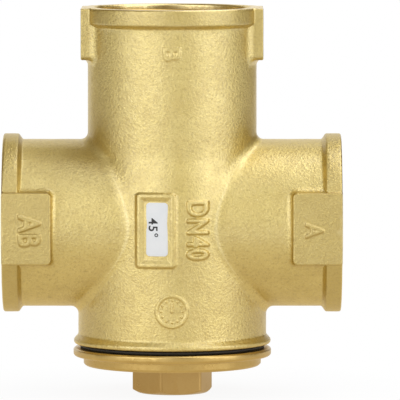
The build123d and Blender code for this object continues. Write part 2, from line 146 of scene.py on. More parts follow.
def blur(values, sigma):
    """Blurs a two-dimensional table, sigma in cells."""
    reach = int(math.ceil(3 * sigma))
    weights = np.exp(-0.5 * (np.arange(-reach, reach + 1) / sigma) ** 2)
    weights /= weights.sum()
    for axis in (0, 1):
        padding = [(reach, reach) if k == axis else (0, 0) for k in (0, 1)]
        padded = np.pad(values, padding, mode="edge")
        size = values.shape[axis]
        values = sum(w * padded.take(range(k, k + size), axis=axis) for k, w in enumerate(weights))
    return values


class Table:
    """A function of two coordinates, kept on a grid and read with bilinear interpolation."""

    def __init__(self, low, high, cell):
        self.low = np.array(low, float)
        self.cell = cell
        self.shape = [int(round((b - a) / cell)) + 1 for a, b in zip(low, high)]
        axes = [a + cell * np.arange(n) for a, n in zip(low, self.shape)]
        self.u, self.v = np.meshgrid(*axes, indexing="ij")
        self.values = np.zeros(self.shape)

    def read(self, u, v):
        a = np.clip((u - self.low[0]) / self.cell, 0, self.shape[0] - 1.001)
        b = np.clip((v - self.low[1]) / self.cell, 0, self.shape[1] - 1.001)
        i = a.astype(int)
        j = b.astype(int)
        a = a - i
        b = b - j
        grid = self.values
        near = grid[i, j] * (1 - b) + grid[i, j + 1] * b
        far = grid[i + 1, j] * (1 - b) + grid[i + 1, j + 1] * b
        return near * (1 - a) + far * a


def turned(profile, softness):
    """Signed distance to a turned form, from its half section (radius, height), closed along the axis."""
    heights = [point[1] for point in profile]
    margin = 6.0
    widest = max(point[0] for point in profile)
    table = Table((0, min(heights) - margin), (widest + margin, max(heights) + margin), table_cell)
    distance = np.full(table.shape, 1e9)
    inside = np.zeros(table.shape, bool)
    for start, end in zip(profile, profile[1:] + profile[:1]):
        if start[0] == 0 and end[0] == 0:
            continue
        distance = np.minimum(distance, segment_distance(table.u, table.v, start, end))
        if start[1] != end[1]:
            crossing = start[0] + (table.v - start[1]) / (end[1] - start[1]) * (end[0] - start[0])
            between = (table.v >= min(start[1], end[1])) & (table.v < max(start[1], end[1]))
            inside ^= between & (table.u < crossing)
    table.values = blur(np.where(inside, -distance, distance), softness / table.cell)
    return table


def round_union(a, b, radius):
    """Union of two distances with a fillet of that radius where they meet."""
    corner = np.hypot(np.maximum(radius - a, 0), np.maximum(radius - b, 0))
    return np.maximum(radius, np.minimum(a, b)) - corner


def round_common(a, b, radius):
    """Common part of two distances with a rounded edge of that radius."""
    return -round_union(-a, -b, radius)


def rounded_rectangle(u, v, centre, size, corner):
    """Distance to a rounded rectangle in its own plane."""
    a = np.abs(u - centre[0]) - size[0] / 2 + corner
    b = np.abs(v - centre[1]) - size[1] / 2 + corner
    return np.hypot(np.maximum(a, 0), np.maximum(b, 0)) + np.minimum(np.maximum(a, b), 0) - corner


def shoulder_points(count=16):
    """Points on the shoulder, which draws in faster and faster from the bowl up to the neck."""
    points = []
    for k in range(count + 1):
        t = k / count
        drop = (bowl_radius - neck_radius) * t**shoulder_power
        points.append((bowl_radius - drop, shoulder_z + shoulder_length * t))
    return points


# Outside of the upright part: end flange, bowl, shoulder, neck and collar
upright_outside = turned(
    [
        (0, body_end_z),
        (end_flange_radius - 0.5, body_end_z),
        (end_flange_radius, body_end_z + 0.5),
        (end_flange_radius, body_end_z + end_flange_height),
        (bowl_radius, body_end_z + end_flange_height + end_flange_slope),
        *shoulder_points(),
        (neck_radius, mouth_z - collar_length - collar_slope),
        (collar_radius, mouth_z - collar_length),
        (collar_radius, mouth_z - collar_edge),
        (collar_radius - collar_edge, mouth_z),
        (0, mouth_z),
    ],
    cast_softness,
)

# Outside of a side tube, from the middle of the valve to its mouth
tube_outside = turned(
    [
        (0, -10.0),
        (tube_radius, -10.0),
        (tube_radius, side_reach - collar_length - collar_slope),
        (collar_radius, side_reach - collar_length),
        (collar_radius, side_reach - collar_edge),
        (collar_radius - collar_edge, side_reach),
        (0, side_reach),
    ],
    cast_softness,
)

# Upright water way: plug thread, inlet chamber, seat, mixing chamber, bypass seat and neck
upright_way = turned(
    [
        (0, body_end_z - 5),
        (lower_bore_radius, body_end_z - 5),
        (lower_bore_radius, lower_bore_z),
        (pilot_radius, pilot_z),
        (pilot_radius, seat_z),
        (seat_hole_radius, seat_z),
        (seat_hole_radius, seat_web_z),
        (chamber_radius - chamber_corner, seat_web_z),
        (chamber_radius, seat_web_z + chamber_corner),
        (chamber_radius, bypass_seat_z - chamber_corner),
        (chamber_radius - chamber_corner, bypass_seat_z),
        (bypass_seat_radius, bypass_seat_z),
        (bypass_seat_radius, bypass_seat_z + bypass_web),
        (port_bore_radius, bypass_seat_z + bypass_web),
        (port_bore_radius, mouth_z - thread_length),
        (thread_radius, mouth_z - thread_length),
        (thread_radius, mouth_z - mouth_chamfer),
        (thread_radius + mouth_chamfer, mouth_z),
        (thread_radius + mouth_chamfer, mouth_z + 5),
        (0, mouth_z + 5),
    ],
    way_softness,
)

# Water way of a side port, from the middle of the valve outward
side_way = turned(
    [
        (0, -10.0),
        (port_bore_radius, -10.0),
        (port_bore_radius, side_reach - thread_length),
        (thread_radius, side_reach - thread_length),
        (thread_radius, side_reach - mouth_chamfer),
        (thread_radius + mouth_chamfer, side_reach),
        (thread_radius + mouth_chamfer, side_reach + 5),
        (0, side_reach + 5),
    ],
    way_softness,
)

# Raised marks on the front of the casting, as one table of heights over x and z
front_marks = Table((-side_reach, body_end_z), (side_reach, mouth_z), table_cell)

# The frame round the label. Its right flank runs out more gently than the others.
label_offset = 0.4
frame_centre = ((label_low.x + label_high.x) / 2 - label_offset, port_z - 0.4)
frame_size = (12.0, 22.6)
frame_corner = 1.0
frame_rise = 0.9
frame_draft = 0.4
frame_foot = 2.4
frame_slope = 1.3
frame_relief = 0.8

# The dial, cast low on the front
dial_centre = (0.0, 27.5)
dial_radius = 5.2
dial_ring = 0.9
dial_bar = 2.4
dial_bar_radius = 0.42
dial_relief = 0.38
pip_reach = 3.35
pip_radius = 0.28

# Raised letters, reading downward: words, centre, length, height and relief
letter_weight = 0.04
letter_spacing = 1.12
letter_softness = 2.1
raised_words = (
    ("DN40", (7.9, port_z - 0.4), 18.0, 6.9, 0.72),
    ("A", (43.4, port_z - 0.4), 4.9, 5.6, 0.55),
    ("AB", (-43.3, port_z - 0.4), 10.0, 7.0, 0.6),
    ("B", (0.0, mouth_z - 13.4), 4.4, 5.4, 0.4),
)


def ramp(distance, width):
    """One inside an outline and nothing outside it, with a smooth slope of that width."""
    share = np.clip(0.5 - distance / width, 0, 1)
    return share * share * (3 - 2 * share)


def text_mesh(words, heavier):
    """Triangles of a line of text in its own plane, centred on the origin: points and corner numbers."""
    curve = bpy.data.curves.new("letters", "FONT")
    curve.body = words
    curve.offset = heavier
    curve.space_character = letter_spacing
    curve.align_x = "CENTER"
    curve.align_y = "CENTER"
    curve.resolution_u = 6
    letters = add_object("letters", curve)
    bpy.context.view_layer.update()
    mesh = letters.evaluated_get(bpy.context.evaluated_depsgraph_get()).to_mesh()
    mesh.calc_loop_triangles()
    points = np.array([vertex.co[:2] for vertex in mesh.vertices])
    corners = np.array([triangle.vertices[:] for triangle in mesh.loop_triangles])
    points -= (points.min(axis=0) + points.max(axis=0)) / 2
    bpy.data.objects.remove(letters)
    bpy.data.curves.remove(curve)
    return points, corners


def sideways(points):
    """Turns a line of text a quarter turn clockwise, so that it reads downward."""
    return np.stack([points[:, 1], -points[:, 0]], axis=1)


def fitted(words, heavier, length, height):
    """A line of text stretched to a length and a height."""
    points, corners = text_mesh(words, heavier)
    points *= np.array([length, height]) / (points.max(axis=0) - points.min(axis=0))
    return points, corners


def stamp_text(words, centre, length, height, relief):
    """Adds a line of raised letters, reading downward, to the marks on the front."""
    points, corners = fitted(words, letter_weight, length, height)
    points = sideways(points) + centre
    mask = np.zeros(front_marks.shape)
    smallest = 0.002
    for a, b, c in points[corners]:
        if abs((b[0] - a[0]) * (c[1] - a[1]) - (b[1] - a[1]) * (c[0] - a[0])) < smallest:
            continue
        lowest = np.minimum(np.minimum(a, b), c)
        highest = np.maximum(np.maximum(a, b), c)
        i0, j0 = np.floor((lowest - front_marks.low) / front_marks.cell).astype(int)
        i1, j1 = np.ceil((highest - front_marks.low) / front_marks.cell).astype(int) + 1
        u = front_marks.u[i0:i1, j0:j1]
        v = front_marks.v[i0:i1, j0:j1]
        turns = []
        for start, end in ((a, b), (b, c), (c, a)):
            turns.append((end[0] - start[0]) * (v - start[1]) - (end[1] - start[1]) * (u - start[0]))
        inside = (np.minimum.reduce(turns) >= 0) | (np.maximum.reduce(turns) <= 0)
        mask[i0:i1, j0:j1][inside] = 1
    front_marks.values += relief * blur(mask, letter_softness)


def stamp_front():
    """Frame for the label, size mark, port letters and casting dial."""
    u = front_marks.u
    v = front_marks.v
    frame_right = frame_centre[0] + frame_size[0] / 2
    drafted = np.where(u > frame_right, frame_right + (u - frame_right) * frame_draft, u)
    outline = rounded_rectangle(drafted, v, frame_centre, frame_size, frame_corner)
    inner_slope = np.clip((frame_foot + outline) / frame_slope, 0, 1)
    front_marks.values += frame_relief * blur(np.minimum(ramp(outline, frame_rise), inner_slope), 1.2)
    for word in raised_words:
        stamp_text(*word)
    reach = np.hypot(u - dial_centre[0], v - dial_centre[1])
    dial = ramp(np.abs(reach - dial_radius + 0.5) - dial_ring / 2, 0.6)
    bar_end = (dial_centre[0], dial_centre[1] + dial_bar)
    bar = segment_distance(u, v, dial_centre, bar_end) - dial_bar_radius
    dial = np.maximum(dial, ramp(bar, 0.5))
    for k in range(12):
        turn = math.radians(30 * k)
        pip = (dial_centre[0] + pip_reach * math.sin(turn), dial_centre[1] + pip_reach * math.cos(turn))
        dial = np.maximum(dial, 0.8 * ramp(np.hypot(u - pip[0], v - pip[1]) - pip_radius, 0.4))
    front_marks.values += dial_relief * dial


stamp_front()


def waviness(x, y, z):
    """Slow unevenness of a sand-cast surface, from nothing down to its depth."""
    depth = 0.05
    # Waves of about a centimetre, with lengths and shifts that don't line up
    wave = np.sin(0.61 * x + 1.7 * np.sin(0.23 * z)) * np.sin(0.53 * z + 1.1) * np.sin(0.57 * y + 0.4)
    wave += 0.6 * np.sin(0.93 * x - 0.71 * z + 2.0 * np.sin(0.31 * y)) * np.sin(0.83 * y + 0.35 * x)
    return depth * (wave / 1.6 - 1) / 2


def outside_distance(x, y, z):
    """Distance to the casting's outside."""
    upright = upright_outside.read(np.hypot(x, y), z)
    tubes = tube_outside.read(np.hypot(y, z - port_z), np.abs(x))
    steepness = np.clip(np.abs(z - port_z) / tube_radius, 0, 1) ** 2
    body = round_union(upright, tubes, junction_fillet + (crotch_fillet - junction_fillet) * steepness)
    side_x = side_reach - flat_setback - flat_length / 2 + flat_overrun / 2
    side_size = (flat_length + flat_overrun, flat_width)
    side_flats = rounded_rectangle(np.abs(x), z, (side_x, port_z), side_size, flat_corner)
    side_face = np.maximum(np.abs(y) - flat_reach, np.abs(x) - side_reach + flat_inset)
    side_flats = round_common(side_flats, side_face, flat_edge)
    neck_z = mouth_z - flat_setback - neck_flat_length / 2 + flat_overrun / 2
    neck_size = (flat_width, neck_flat_length + flat_overrun)
    neck_flats = rounded_rectangle(y, z, (0, neck_z), neck_size, flat_corner)
    neck_face = np.maximum(np.abs(x) - flat_reach, z - mouth_z + flat_inset)
    neck_flats = round_common(neck_flats, neck_face, flat_edge)
    flats = np.minimum(side_flats, neck_flats)
    plain = np.minimum(np.hypot(y, z - port_z) - tube_radius, np.hypot(x, y) - neck_radius)
    within = np.maximum(np.abs(x) - side_reach, z - mouth_z) + flat_inset
    roots = np.maximum(round_union(plain, flats, flat_root), within)
    flats = np.minimum(round_union(body, flats, flat_edge - 0.1), roots)
    marks = front_marks.read(x, z) * (y < 0)
    return flats - marks - waviness(x, y, z)


def way_distance(x, y, z):
    """Distance to the water ways, negative in the water."""
    reach = np.hypot(x, y)
    upright = upright_way.read(reach, z)
    side = side_way.read(np.hypot(y, z - port_z), np.abs(x))
    mixing_wall = np.maximum(reach - chamber_radius - divider_wall, seat_z - z)
    inlet_wall = np.maximum(reach - pilot_radius - divider_wall, z - seat_web_z)
    wall = np.where(x > 0, mixing_wall, inlet_wall)
    side = round_common(side, -wall, way_edge)
    return round_union(upright, side, way_fillet)


def casting_distance(x, y, z):
    return round_common(outside_distance(x, y, z), -way_distance(x, y, z), casting_edge)


def gradient(distance, points):
    """Direction in which the distance grows, by central differences."""
    step = 0.04
    columns = []
    for axis in range(3):
        shift = np.zeros(3)
        shift[axis] = step
        ahead = distance(*(points + shift).T)
        behind = distance(*(points - shift).T)
        columns.append((ahead - behind) / (2 * step))
    return np.stack(columns, axis=1)


def settle(distance, points, rounds):
    """Moves points onto the surface where the distance is nothing. Gives them with their normals."""
    least_square = 0.2
    longest_step = 0.4
    for _ in range(rounds):
        slope = gradient(distance, points)
        square = np.maximum((slope**2).sum(axis=1), least_square)
        step = np.clip(distance(*points.T) / square, -longest_step, longest_step)
        points = points - slope * step[:, None]
    slope = gradient(distance, points)
    return points, slope / np.linalg.norm(slope, axis=1)[:, None]


def refine(points, triangles, marked):
    """Splits the marked triangles in four, and their neighbours so that the mesh stays closed."""
    ends = np.sort(triangles[:, [[0, 1], [1, 2], [2, 0]]].reshape(-1, 2), axis=1)
    keys, index = np.unique(ends[:, 0] * len(points) + ends[:, 1], return_inverse=True)
    index = index.reshape(-1, 3)
    split = np.zeros(len(keys), bool)
    split[index[marked].ravel()] = True
    middle = np.full(len(keys), -1)
    middle[split] = len(points) + np.arange(split.sum())
    halves = (points[keys[split] // len(points)] + points[keys[split] % len(points)]) / 2
    middles = middle[index]
    count = (middles >= 0).sum(axis=1)
    made = [triangles[count == 0]]
    a, b, c = triangles[count == 3].T
    ab, bc, ca = middles[count == 3].T
    made += [np.stack(corners, axis=1) for corners in ((a, ab, ca), (ab, b, bc), (ca, bc, c), (ab, bc, ca))]
    for turn in range(3):
        rows = (count == 1) & (middles[:, turn] >= 0)
        a, b, c = np.roll(triangles[rows], -turn, axis=1).T
        ab = middles[rows, turn]
        made += [np.stack(corners, axis=1) for corners in ((a, ab, c), (ab, b, c))]
        rows = (count == 2) & (middles[:, turn] < 0)
        a, b, c = np.roll(triangles[rows], -turn - 1, axis=1).T
        ab, bc, _ = np.roll(middles[rows], -turn - 1, axis=1).T
        made += [np.stack(corners, axis=1) for corners in ((a, ab, c), (ab, b, bc), (ab, bc, c))]
    return np.concatenate([points, halves]), np.concatenate(made)


# Triangles are split where the surface turns by more than the sharp bend, down to the least side.
# On hidden surfaces they stay longer, and round the raised marks they are short all over.
sharp_bend = math.radians(14)
least_side = 0.3
hidden_side = 0.9
mark_side = 0.42
split_rounds = 3


def thin_out(points, triangles, most):
    """Takes triangles away where the surface is flattest, down to a number of them."""
    dense = bpy.data.meshes.new("dense")
    dense.from_pydata(points.tolist(), [], triangles.tolist())
    holder = add_object("dense", dense)
    thinner = holder.modifiers.new("thinner", "DECIMATE")
    thinner.ratio = min(1, most / len(triangles))
    bpy.context.view_layer.update()
    mesh = holder.evaluated_get(bpy.context.evaluated_depsgraph_get()).to_mesh()
    mesh.calc_loop_triangles()
    kept = np.zeros(3 * len(mesh.vertices), np.float32)
    mesh.vertices.foreach_get("co", kept)
    corners = np.zeros(3 * len(mesh.loop_triangles), np.int32)
    mesh.loop_triangles.foreach_get("vertices", corners)
    bpy.data.objects.remove(holder)
    bpy.data.meshes.remove(dense)
    return kept.reshape(-1, 3).astype(float), corners.reshape(-1, 3).astype(int)


def skin(distance, low, high, cell, fine_areas, coarse, most):
    """Mesh of a distance's surface, split where it bends or where fine marks lie, then thinned."""
    axes = [np.arange(a, b + cell, cell) for a, b in zip(low, high)]
    x, y, z = np.meshgrid(*axes, indexing="ij")
    values = distance(x, y, z).astype(np.float32)
    grid = openvdb.FloatGrid(3 * cell)
    grid.copyFromArray(values)
    points, squares = grid.convertToQuads(0.0)
    points = points * cell + np.array(low)
    squares = squares.astype(int)
    triangles = np.concatenate([squares[:, [0, 1, 2]], squares[:, [0, 2, 3]]])
    points, normals = settle(distance, points.astype(float), 4)
    for _ in range(split_rounds):
        corners = points[triangles]
        facing = normals[triangles]
        centre = corners.mean(axis=1)
        bend = np.min((facing * np.roll(facing, 1, axis=1)).sum(axis=2), axis=1)
        longest = np.linalg.norm(corners - np.roll(corners, 1, axis=1), axis=2).max(axis=1)
        marked = (bend < math.cos(sharp_bend)) & (longest > least_side)
        marked &= ~(coarse(centre) & (longest < hidden_side))
        for area_low, area_high in fine_areas:
            within = np.all((centre > area_low) & (centre < area_high), axis=1)
            marked |= within & (longest > mark_side)
        points, triangles = refine(points, triangles, marked)
        points, normals = settle(distance, points, 2)
    points, triangles = thin_out(points, triangles, most)
    points, normals = settle(distance, points, 1)
    return points, triangles, normals


def piece_from(name, points, faces, normals=None):
    """A mesh object from points in millimetres."""
    mesh = bpy.data.meshes.new(name)
    mesh.from_pydata((points * MM).tolist(), [], faces.tolist() if hasattr(faces, "tolist") else faces)
    mesh.polygons.foreach_set("use_smooth", np.ones(len(mesh.polygons), bool))
    mesh.update()
    if normals is not None:
        mesh.normals_split_custom_set_from_vertices(normals.tolist())
    return add_object(name, mesh)


def smooth_step(values, low, high):
    """Nothing at low and one at high, with a smooth slope between them."""
    share = np.clip((values - low) / (high - low), 0, 1)
    return share * share * (3 - 2 * share)


def machined_share(points):
    """One on turned faces, bores and seats of the casting, nothing on the skin as cast."""
    x, y, z = points.T
    ends = np.maximum.reduce([np.abs(x) - side_reach, z - mouth_z, body_end_z - z])
    faces = smooth_step(ends, -0.35, -0.15)
    bore = smooth_step(outside_distance(x, y, z), -0.2, -0.6)
    turned_zone = (np.abs(x) > side_reach - thread_length - 0.2) | (z > mouth_z - thread_length - 0.2)
    turned_zone |= (z < seat_web_z + 0.2) & (np.hypot(x, y) < lower_bore_radius + 0.3)
    turned_zone |= (z > bypass_seat_z - 0.3) & (z < bypass_seat_z + bypass_web + 0.3)
    return np.maximum(faces, bore * turned_zone)


def proud_share(points):
    """One on the collars and wrench flats, which stand proud and are a little darker than the rest."""
    x, y, z = points.T
    side = smooth_step(np.hypot(y, z - port_z), tube_radius + 0.5, tube_radius + 1.5)
    neck = smooth_step(np.hypot(x, y), neck_radius + 0.4, neck_radius + 1.4)
    side *= np.abs(x) > side_reach - flat_setback - flat_length - 1
    neck *= z > mouth_z - flat_setback - neck_flat_length - 1
    return np.maximum(side, neck)


# The casting's mesh, and the boxes round its raised marks: frame and size mark, dial, A, AB and B
casting_cell = 1.0
casting_triangles = 180000
box_margin = 2.0
mark_areas = [
    ((-12.5, -32, port_z - 13), (12.5, -20, port_z + 13)),
    ((-6.5, -32, 20), (6.5, -20, 33)),
    ((38.5, -30, port_z - 8), (49, -26, port_z + 3)),
    ((-49, -30, port_z - 12), (-38, -26, port_z + 8)),
    ((-4, -32, 100), (4, -20, 109)),
]


def deep_inside(places):
    """True more than a millimetre under the casting's outside."""
    return outside_distance(*places.T) < -1.0


def make_casting():
    """The casting, with the values that its material reads at each point."""
    low = (-side_reach - box_margin, -end_flange_radius - box_margin, body_end_z - box_margin)
    high = (side_reach + box_margin, end_flange_radius + box_margin, mouth_z + box_margin)
    points, triangles, normals = skin(
        casting_distance, low, high, casting_cell, mark_areas, deep_inside, casting_triangles
    )
    casting = piece_from("casting", points, triangles, normals)
    x, y, z = points.T
    for name, values in (
        ("machined", machined_share(points)),
        ("proud", proud_share(points)),
        ("to_upright", upright_outside.read(np.hypot(x, y), z)),
        ("to_tubes", tube_outside.read(np.hypot(y, z - port_z), np.abs(x))),
    ):
        attribute = casting.data.attributes.new(name, "FLOAT", "POINT")
        attribute.data.foreach_set("value", values.astype(np.float32))
    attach(casting, "casing")
    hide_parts("valve_body")
    return casting


# Sizes of the service plug
boss_radius = 11.0
boss_turn = 14.0
boss_length = 8.5
boss_face_radius = 10.6
plug_step_radius = 27.35
plug_step_edge = 0.6
plug_flange_z = 11.4
plug_flange_round = 0.9
spigot_radius = 25.0
spigot_inner_radius = 22.0
spring_floor_z = boss_length + 3.0
plug_softness = 0.1
plug_cell = 0.9
plug_margin = 1.5
plug_triangles = 70000


def plug_outline():
    """Half section of the plug without its hex boss."""
    points = [
        (0, boss_length),
        (plug_step_radius - plug_step_edge, boss_length),
        (plug_step_radius, boss_length + plug_step_edge),
        (plug_step_radius, plug_flange_z),
    ]
    round_radius = plug_flange_radius - plug_flange_round
    for k in range(7):
        turn = math.radians(15 * k)
        across = round_radius + plug_flange_round * math.sin(turn)
        points.append((across, plug_flange_z + plug_flange_round * (1 - math.cos(turn))))
    points += [
        (plug_flange_radius, plug_top_z - 0.5),
        (plug_flange_radius - 0.5, plug_top_z),
        (spigot_radius, plug_top_z),
        (spigot_radius, plug_high.z - 0.8),
        (spigot_radius - 0.8, plug_high.z),
        (spigot_inner_radius, plug_high.z),
        (spigot_inner_radius, spring_floor_z),
        (0, spring_floor_z),
    ]
    return points


plug_turned = turned(plug_outline(), plug_softness)
boss_cone = turned(
    [
        (0, 0),
        (boss_face_radius, 0),
        (boss_face_radius + 8 * math.sqrt(3), 8.0),
        (boss_face_radius + 8 * math.sqrt(3), boss_length + 2),
        (0, boss_length + 2),
    ],
    plug_softness,
)


def plug_distance(x, y, z):
    """Distance to the service plug."""
    reach = np.hypot(x, y)
    angle = np.arctan2(y, x) - math.radians(boss_turn + 30)
    side = (angle + math.pi / 6) % (math.pi / 3) - math.pi / 6
    hexagon = round_common(reach * np.cos(side) - boss_radius, boss_cone.read(reach, z), 0.15)
    corners = reach * np.cos(math.pi / 6 - np.abs(side)) - boss_radius / math.cos(math.pi / 6) + 0.06
    hexagon = round_common(hexagon, corners, 0.3)
    return round_union(hexagon, plug_turned.read(reach, z), 0.25)


def hidden_in_bore(places):
    """True above the plug's flange, inside the casting."""
    return places[:, 2] > plug_top_z + 0.4


def make_plug():
    reach = plug_flange_radius + plug_margin
    low = (-reach, -reach, -plug_margin)
    high = (reach, reach, plug_high.z + plug_margin)
    points, triangles, normals = skin(plug_distance, low, high, plug_cell, [], hidden_in_bore, plug_triangles)
    plug = piece_from("plug", points, triangles, normals)
    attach(plug, "casing")
    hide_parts("service_plug")
    return plug


def ring_faces(rows, sides, forward, joined=False):
    """Squares between rows of points, each row a closed ring. Joined, the last row meets the first."""
    faces = []
    for k in range(rows if joined else rows - 1):
        after = (k + 1) % rows
        for j in range(sides):
            i = (j + 1) % sides
            near = (k * sides + j, k * sides + i)
            far = (after * sides + j, after * sides + i)
            if forward:
                faces.append((near[0], near[1], far[1], far[0]))
            else:
                faces.append((near[0], far[0], far[1], near[1]))
    return faces


def lathe(name, section, segments=160):
    """A closed ring turned round the upright axis from its section (radius, height)."""
    points = []
    for k in range(segments):
        turn = 2 * math.pi * k / segments
        points += [(r * math.cos(turn), r * math.sin(turn), z) for r, z in section]
    return piece_from(name, np.array(points), ring_faces(segments, len(section), False, joined=True))


def make_ring():
    """Rubber ring, squeezed oval between the plug flange and the casting."""
    ring_width = 3.2
    inner = ring_high.x - ring_width
    middle_r = (inner + ring_high.x) / 2
    middle_z = (ring_low.z + ring_high.z) / 2
    half_r = (ring_high.x - inner) / 2
    half_z = (ring_high.z - ring_low.z) / 2
    section = []
    for k in range(20):
        turn = 2 * math.pi * k / 20
        across = math.cos(turn)
        up = math.sin(turn)
        r = middle_r + half_r * math.copysign(abs(across) ** 0.8, across)
        z = middle_z + half_z * math.copysign(abs(up) ** 0.6, up)
        section.append((r, z))
    ring = lathe("ring_seal", section)
    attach(ring, "casing")
    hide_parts("plug_ring")
    return ring


def coil(name, wire, mean, base, top, turns):
    """Round wire spring with both ends ground flat."""
    per_turn = 72
    sides = 14
    dip = 0.6 * wire
    steps = int(turns * per_turn)
    pitch = (top - base + 2 * dip) / turns
    slope = math.atan2(pitch, 2 * math.pi * mean)
    points = []
    for k in range(steps + 1):
        turn = 2 * math.pi * k / per_turn
        height = base - dip + pitch * k / per_turn
        for j in range(sides):
            around = 2 * math.pi * j / sides
            out = wire * math.cos(around)
            up = wire * math.sin(around)
            r = mean + out
            side = -up * math.sin(slope)
            x = r * math.cos(turn) - side * math.sin(turn)
            y = r * math.sin(turn) + side * math.cos(turn)
            z = min(max(height + up * math.cos(slope), base), top)
            points.append((x, y, z))
    faces = ring_faces(steps + 1, sides, True)
    faces.append(tuple(range(sides))[::-1])
    faces.append(tuple(range(steps * sides, (steps + 1) * sides)))
    spring = piece_from(name, np.array(points), faces)
    return spring


def make_springs():
    """The three springs, each between the seats that its CAD node has."""
    springs = []
    for name, cad_node, wire, turns, body in (
        ("main_coil", "main_spring", 1.0, 5.0, "casing"),
        ("hold_down_coil", "hold_down_spring", 1.0, 3.5, "casing"),
        ("bypass_coil", "bypass_spring", 0.5, 3.0, "element"),
    ):
        low, high = [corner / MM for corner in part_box(cad_node)]
        spring = coil(name, wire, (high.x - low.x) / 2 - wire, low.z, high.z, turns)
        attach(spring, body)
        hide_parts(cad_node)
        springs.append(spring)
    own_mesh(springs[0])
    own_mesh(springs[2])
    return springs


# Pipe thread of the ports: half of a ridge's section as rise from the bore and place along it
thread_pitch = 2.309
thread_depth = 1.479
thread_start = 0.9
thread_end_gap = 1.6
ridge_half = ((0.06, 1.13), (-0.42, 0.86), (-1.3, 0.36), (-thread_depth, 0.16))


def pipe_thread(name, centre, outward, across):
    """Ridges of the female pipe thread in one port. They run from the mouth inward and fade out."""
    section = [(rise, -along) for rise, along in ridge_half] + list(ridge_half[::-1])
    per_turn = 96
    steps = int((thread_length - thread_end_gap) / thread_pitch * per_turn)
    outward = Vector(outward)
    across = Vector(across)
    upward = outward.cross(across)
    points = []
    sides = len(section)
    for k in range(steps + 1):
        turn = 2 * math.pi * k / per_turn
        depth = thread_start + thread_pitch * k / per_turn
        fade = min(1.0, k / 40, (steps - k) / 60)
        radial = across * math.cos(turn) - upward * math.sin(turn)
        for rise, along in section:
            r = thread_radius + (rise if rise > 0 else rise * fade)
            points.append(Vector(centre) + radial * r - outward * (depth + along * (0.25 + 0.75 * fade)))
    faces = ring_faces(steps + 1, sides, False)
    faces.append(tuple(range(sides)))
    faces.append(tuple(range(steps * sides, (steps + 1) * sides))[::-1])
    thread = piece_from(name, np.array([tuple(p) for p in points]), faces)
    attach(thread, "casing")
    return thread


def make_threads():
    return [
        pipe_thread("thread_a", (side_reach, 0, port_z), (1, 0, 0), (0, 1, 0)),
        pipe_thread("thread_ab", (-side_reach, 0, port_z), (-1, 0, 0), (0, 1, 0)),
        pipe_thread("thread_b", (0, 0, mouth_z), (0, 0, 1), (1, 0, 0)),
    ]


# The label and its print. The print is thinner than the cast letters.
label_skin = 0.15
label_size = (6.6, 16.3)
label_corner = 1.1
ink_skin = 0.015
print_weight = 0.015
print_length = 5.8
print_height = 2.9
print_centre = (label_low.x + 2.2, port_z + 0.6)


def on_skin(x, z, rise):
    """The point in front of x and z that stands off the bowl and shoulder by a rise."""
    radii, heights = zip(*shoulder_points(40))
    reach = np.interp(z, heights, radii) + rise
    return x, -math.sqrt(reach**2 - x * x), z


def make_label():
    """Label film on the shoulder, with a soft edge, as rings of points shrunk toward its middle."""
    centre_x = (label_low.x + label_high.x) / 2
    outline = []
    for sign_x, sign_z, start in ((1, 1, 0), (-1, 1, 90), (-1, -1, 180), (1, -1, 270)):
        for k in range(9):
            turn = math.radians(start + 90 * k / 8)
            across = sign_x * (label_size[0] / 2 - label_corner) + label_corner * math.cos(turn)
            up = sign_z * (label_size[1] / 2 - label_corner) + label_corner * math.sin(turn)
            outline.append((across, up))
    rings = [(1.0, -0.1), (1.0, label_skin - 0.03), (0.985, label_skin)]
    rings += [(share / 8, label_skin) for share in range(7, 0, -1)]
    places = []
    for share, rise in rings:
        places += [on_skin(centre_x + across * share, port_z + up * share, rise) for across, up in outline]
    places.append(on_skin(centre_x, port_z, label_skin))
    count = len(outline)
    faces = ring_faces(len(rings), count, True)
    last = (len(rings) - 1) * count
    faces += [(last + j, last + (j + 1) % count, last + count) for j in range(count)]
    label = piece_from("label_sheet", np.array(places), faces)
    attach(label, "casing")
    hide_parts("setting_label")
    return label


def make_print():
    """The opening temperature, printed on the label, following its curve."""
    points, corners = fitted("45°", print_weight, print_length, print_height)
    points = sideways(points)
    mesh = bmesh.new()
    vertices = [mesh.verts.new((x, 0, z)) for x, z in points]
    for a, b, c in corners:
        mesh.faces.new((vertices[a], vertices[b], vertices[c]))
    for _ in range(2):
        long_edges = [edge for edge in mesh.edges if edge.calc_length() > 0.25]
        bmesh.ops.subdivide_edges(mesh, edges=long_edges, cuts=1)
    bmesh.ops.triangulate(mesh, faces=mesh.faces[:])
    places = []
    for vertex in mesh.verts:
        x = vertex.co.x + print_centre[0]
        z = vertex.co.z + print_centre[1]
        places.append(on_skin(x, z, label_skin + ink_skin))
    mesh.verts.index_update()
    faces = [tuple(vertex.index for vertex in face.verts) for face in mesh.faces]
    mesh.free()
    ink = piece_from("label_print", np.array(places), faces)
    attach(ink, "casing")
    return ink


# Materials

def new_material(name):
    material = bpy.data.materials.new(name)
    material.use_nodes = True
    return material, material.node_tree, material.node_tree.nodes["Principled BSDF"]


def node(tree, kind, **inputs):
    """A node with its sockets set by name. Spaces in a socket's name are written as underscores."""
    made = tree.nodes.new(kind)
    for key, value in inputs.items():
        made.inputs[key.replace("_", " ")].default_value = value
    return made


def noise(tree, coordinates, scale, detail=3.0, rough=0.55):
    made = node(tree, "ShaderNodeTexNoise", Scale=scale, Detail=detail, Roughness=rough)
    tree.links.new(coordinates, made.inputs["Vector"])
    return made.outputs["Fac"]


def spread(tree, value, low, high, to_low, to_high):
    """Maps a value from one range to another."""
    made = node(tree, "ShaderNodeMapRange", From_Min=low, From_Max=high, To_Min=to_low, To_Max=to_high)
    tree.links.new(value, made.inputs["Value"])
    return made.outputs["Result"]


